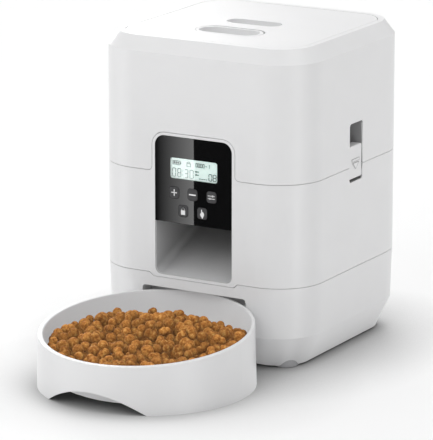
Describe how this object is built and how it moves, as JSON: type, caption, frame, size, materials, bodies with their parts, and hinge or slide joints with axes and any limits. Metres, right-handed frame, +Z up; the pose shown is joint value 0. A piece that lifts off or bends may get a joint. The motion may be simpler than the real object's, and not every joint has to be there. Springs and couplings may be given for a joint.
{
  "type": "automatic pet feeder",
  "caption": "Upright rounded-square pet food dispenser with a lift-off tank, black control panel, chute opening and a separate round bowl in front.",
  "frame": {"origin": "on the floor, under the middle of the whole object's footprint, feeder and bowl together", "axes": "+Z up, -Y out of the front where the bowl stands, +X to the right when looking at the front"},
  "size_m": [0.19, 0.3474, 0.258],
  "materials": {
    "shell_white": "fine satin white moulding",
    "inner_grey": "grey inner moulding",
    "panel_black": "glossy black fascia",
    "lens_clear": "clear lens",
    "lcd_face": "pale green display",
    "key_grey": "dark grey key",
    "board_green": "circuit board",
    "rubber_grey": "soft grey rubber",
    "seal_clear": "silicone",
    "rotor_blue": "pale rotor moulding",
    "gear_white": "natural acetal",
    "steel": "plain steel",
    "dark_plastic": "black moulding"
  },
  "bodies": {
    "base": {"middle_housing": "shell_white", "rotor_housing": "inner_grey", "deck_screws": "steel", "shaft_bush": "gear_white", "chute": "shell_white", "panel_fascia": "panel_black", "lcd_lens": "lens_clear", "lcd_module": "lcd_face", "key_switches": "dark_plastic", "control_board": "board_green", "base_shell": "shell_white", "bottom_plate": "shell_white", "base_screws": "steel", "feet": "rubber_grey", "battery_box": "inner_grey", "battery_contacts": "steel", "battery_springs": "steel", "dc_jack": "dark_plastic", "power_board": "board_green", "gearbox_case": "dark_plastic", "gearbox_cover": "dark_plastic", "gearbox_screws": "steel", "idler_pin": "steel", "motor": "steel", "latch_spring_right": "steel", "latch_spring_left": "steel"},
    "tank": {"tank_shell": "shell_white", "tank_hopper": "inner_grey"},
    "lid": {"lid": "shell_white", "lid_liner": "inner_grey", "lid_screws": "steel", "lid_seal": "seal_clear", "lid_spring": "steel"},
    "lid_button": {"lid_button": "shell_white"},
    "latch_right": {"latch_right": "shell_white"},
    "latch_left": {"latch_left": "shell_white"},
    "rotor": {"rotor": "rotor_blue", "rotor_wipers": "seal_clear", "stirrer": "rotor_blue", "output_shaft": "steel", "output_gear": "gear_white"},
    "idler": {"idler_gear": "gear_white"},
    "motor_shaft": {"motor_pinion": "steel"},
    "battery_door": {"battery_door": "shell_white"},
    "bowl": {"bowl": "shell_white"},
    "key_plus": {"key_plus": "key_grey"},
    "key_minus": {"key_minus": "key_grey"},
    "key_set": {"key_set": "key_grey"},
    "key_lock": {"key_lock": "key_grey"},
    "key_feed": {"key_feed": "key_grey"}
  },
  "joints": [
    {"name": "tank_lift", "type": "slide", "parent": "base", "child": "tank", "axis": [0, 0, 1], "range_m": [0, 0.06]},
    {"name": "lid_lift", "type": "slide", "parent": "tank", "child": "lid", "axis": [0, 0, 1], "range_m": [0, 0.04]},
    {"name": "lid_pinch", "type": "slide", "parent": "lid", "child": "lid_button", "axis": [0, 1, 0], "range_m": [0, 0.002], "stiffness_N_per_m": 400, "springref_m": -0.001, "deforming": ["lid_spring"]},
    {"name": "bowl_slide", "type": "slide", "parent": "base", "child": "bowl", "axis": [0, -1, 0], "range_m": [0, 0.06]},
    {"name": "battery_door_swing", "type": "hinge", "parent": "base", "child": "battery_door", "pos_m": [0, 0.11522, 0.0051], "axis": [1, 0, 0], "range_deg": [0, 90]},
    {"name": "rotor_spin", "type": "hinge", "parent": "base", "child": "rotor", "pos_m": [0, 0.09672, 0.13], "axis": [0, 0, 1], "continuous": true},
    {"name": "idler_spin", "type": "hinge", "parent": "base", "child": "idler", "pos_m": [0.024, 0.09672, 0.104], "axis": [0, 0, 1], "continuous": true},
    {"name": "motor_spin", "type": "hinge", "parent": "base", "child": "motor_shaft", "pos_m": [0.024, 0.11672, 0.104], "axis": [0, 0, 1], "continuous": true},
    {"name": "latch_right_push", "type": "slide", "parent": "base", "child": "latch_right", "axis": [0, 0, -1], "range_m": [0, 0.002], "stiffness_N_per_m": 500, "springref_m": -0.001, "deforming": ["latch_spring_right"]},
    {"name": "latch_left_push", "type": "slide", "parent": "base", "child": "latch_left", "axis": [0, 0, -1], "range_m": [0, 0.002], "stiffness_N_per_m": 500, "springref_m": -0.001, "deforming": ["latch_spring_left"]},
    {"name": "key_plus_press", "type": "slide", "parent": "base", "child": "key_plus", "axis": [0, 1, 0], "range_m": [0, 0.0006], "stiffness_N_per_m": 800, "springref_m": -0.0003},
    {"name": "key_minus_press", "type": "slide", "parent": "base", "child": "key_minus", "axis": [0, 1, 0], "range_m": [0, 0.0006], "stiffness_N_per_m": 800, "springref_m": -0.0003},
    {"name": "key_set_press", "type": "slide", "parent": "base", "child": "key_set", "axis": [0, 1, 0], "range_m": [0, 0.0006], "stiffness_N_per_m": 800, "springref_m": -0.0003},
    {"name": "key_lock_press", "type": "slide", "parent": "base", "child": "key_lock", "axis": [0, 1, 0], "range_m": [0, 0.0006], "stiffness_N_per_m": 800, "springref_m": -0.0003},
    {"name": "key_feed_press", "type": "slide", "parent": "base", "child": "key_feed", "axis": [0, 1, 0], "range_m": [0, 0.0006], "stiffness_N_per_m": 800, "springref_m": -0.0003}
  ],
  "couplings": [
    {"joint": "idler_spin", "follows": "rotor_spin", "ratio": -4},
    {"joint": "motor_spin", "follows": "rotor_spin", "ratio": 16}
  ]
}
